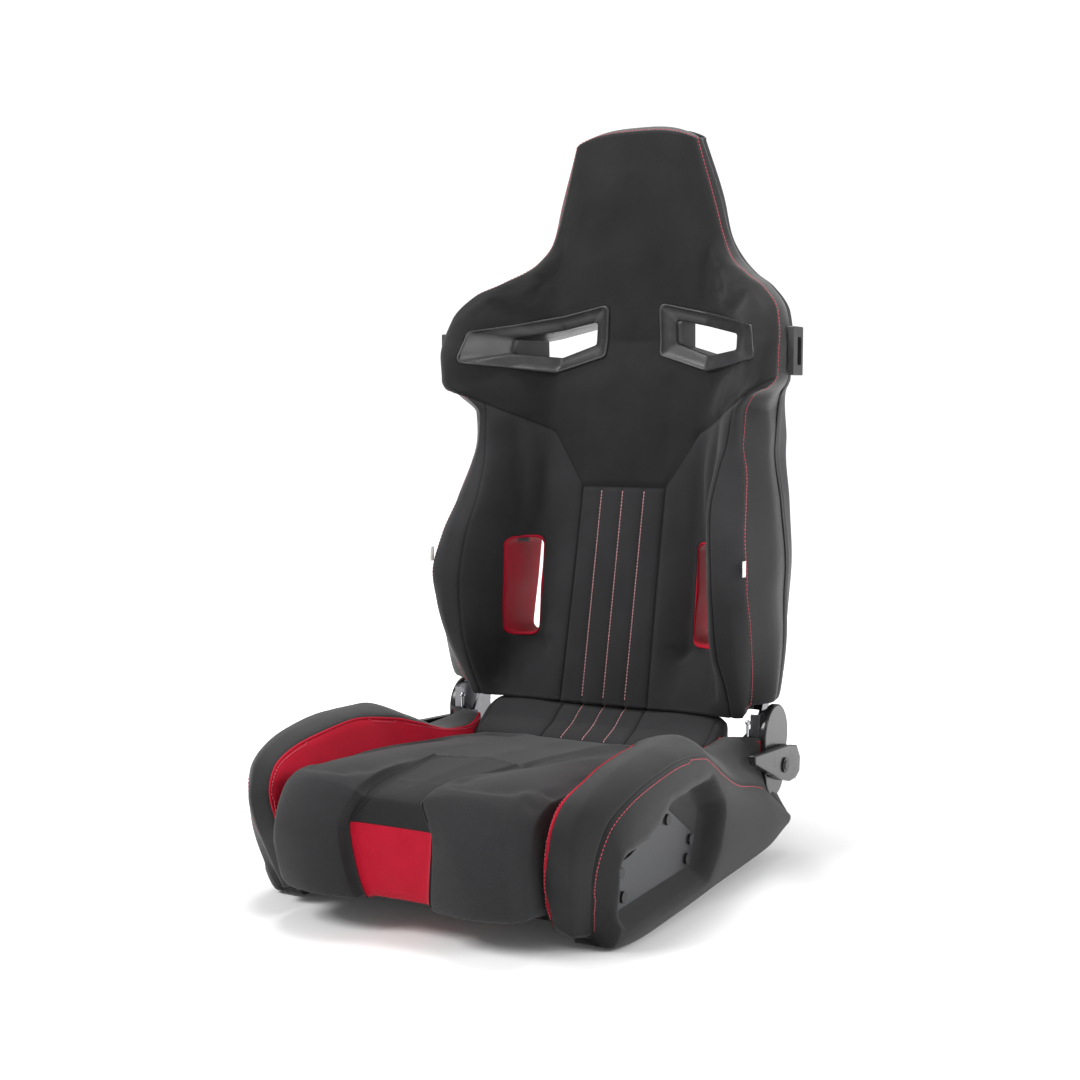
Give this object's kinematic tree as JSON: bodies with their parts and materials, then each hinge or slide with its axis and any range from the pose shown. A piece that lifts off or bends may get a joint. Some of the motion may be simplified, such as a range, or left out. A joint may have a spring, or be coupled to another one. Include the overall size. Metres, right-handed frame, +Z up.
{
  "type": "racing seat",
  "caption": "Reclining bucket seat with harness openings, bolstered cushion, twin release levers and a bolted floor frame.",
  "frame": {"origin": "centre of the four floor bolts, in the plane of the boss faces", "axes": "+Z up, the seat faces -Y, +X to the sitter's left"},
  "size_m": [0.5278, 0.7136, 0.972],
  "materials": {
    "frame_paint": "satin black powder coat",
    "spring_wire": "plain drawn wire",
    "bracket_zinc": "zinc plated",
    "bright_steel": "bright plated",
    "dark_steel": "black oxide",
    "plate_satin": "anthracite satin",
    "gloss_black": "gloss black",
    "lever_plastic": "fine grained dark grey",
    "trim_plastic": "fine grained dark grey",
    "shell_plastic": "grained black",
    "red_fabric": "red woven",
    "tag_white": "plain white tape",
    "grey_fabric": "dark grey woven",
    "black_fabric": "black smooth woven"
  },
  "bodies": {
    "cushion": {"base_bracket_bolts": "bright_steel", "bracket_pins": "bright_steel", "cushion_bolster_left": "black_fabric", "cushion_bolster_right": "black_fabric", "cushion_pad": "grey_fabric", "frame_cross_front": "frame_paint", "frame_cross_rear": "frame_paint", "frame_rail_left": "frame_paint", "frame_rail_right": "frame_paint", "mount_bosses": "frame_paint", "rear_insert_pad": "grey_fabric", "recliner_base_bracket_left": "bracket_zinc", "recliner_base_bracket_right": "bracket_zinc", "recliner_cover_left": "gloss_black", "recliner_cover_right": "gloss_black", "recliner_cross_tube": "frame_paint", "recliner_disc_lower_left": "bright_steel", "recliner_disc_lower_right": "bright_steel", "seat_springs": "spring_wire", "side_plate_left": "plate_satin", "side_plate_right": "plate_satin", "side_plate_screws": "dark_steel"},
    "backrest": {"back_bracket_bolts": "bright_steel", "back_lower_cross_tube": "frame_paint", "back_side_tube_left": "frame_paint", "back_side_tube_right": "frame_paint", "back_springs": "spring_wire", "back_upper_cross_tube": "frame_paint", "harness_bezel_left": "trim_plastic", "harness_bezel_right": "trim_plastic", "harness_guide_left": "trim_plastic", "harness_guide_right": "trim_plastic", "head_hoop": "frame_paint", "lumbar_liner_left": "red_fabric", "lumbar_liner_right": "red_fabric", "rear_shell": "shell_plastic", "recliner_back_bracket_left": "bracket_zinc", "recliner_back_bracket_right": "bracket_zinc", "recliner_disc_upper_left": "bright_steel", "recliner_disc_upper_right": "bright_steel", "seam_tags": "tag_white", "shoulder_pad": "black_fabric", "side_belt_guide_left": "trim_plastic", "side_belt_guide_right": "trim_plastic", "torso_bolster_left": "grey_fabric", "torso_bolster_right": "grey_fabric", "torso_pad": "grey_fabric"},
    "release": {"lever_clips": "bright_steel", "release_lever_left": "lever_plastic", "release_lever_right": "lever_plastic", "release_shaft": "bright_steel"}
  },
  "joints": [
    {"name": "backrest_recline", "type": "hinge", "parent": "cushion", "child": "backrest", "pos_m": [0, 0.225, 0.12], "axis": [-1, 0, 0], "range_deg": [-12, 60]},
    {"name": "lever_pull", "type": "hinge", "parent": "cushion", "child": "release", "pos_m": [0, 0.225, 0.12], "axis": [-1, 0, 0], "range_deg": [0, 25], "stiffness_Nm_per_rad": 3, "springref_deg": -20.05}
  ]
}
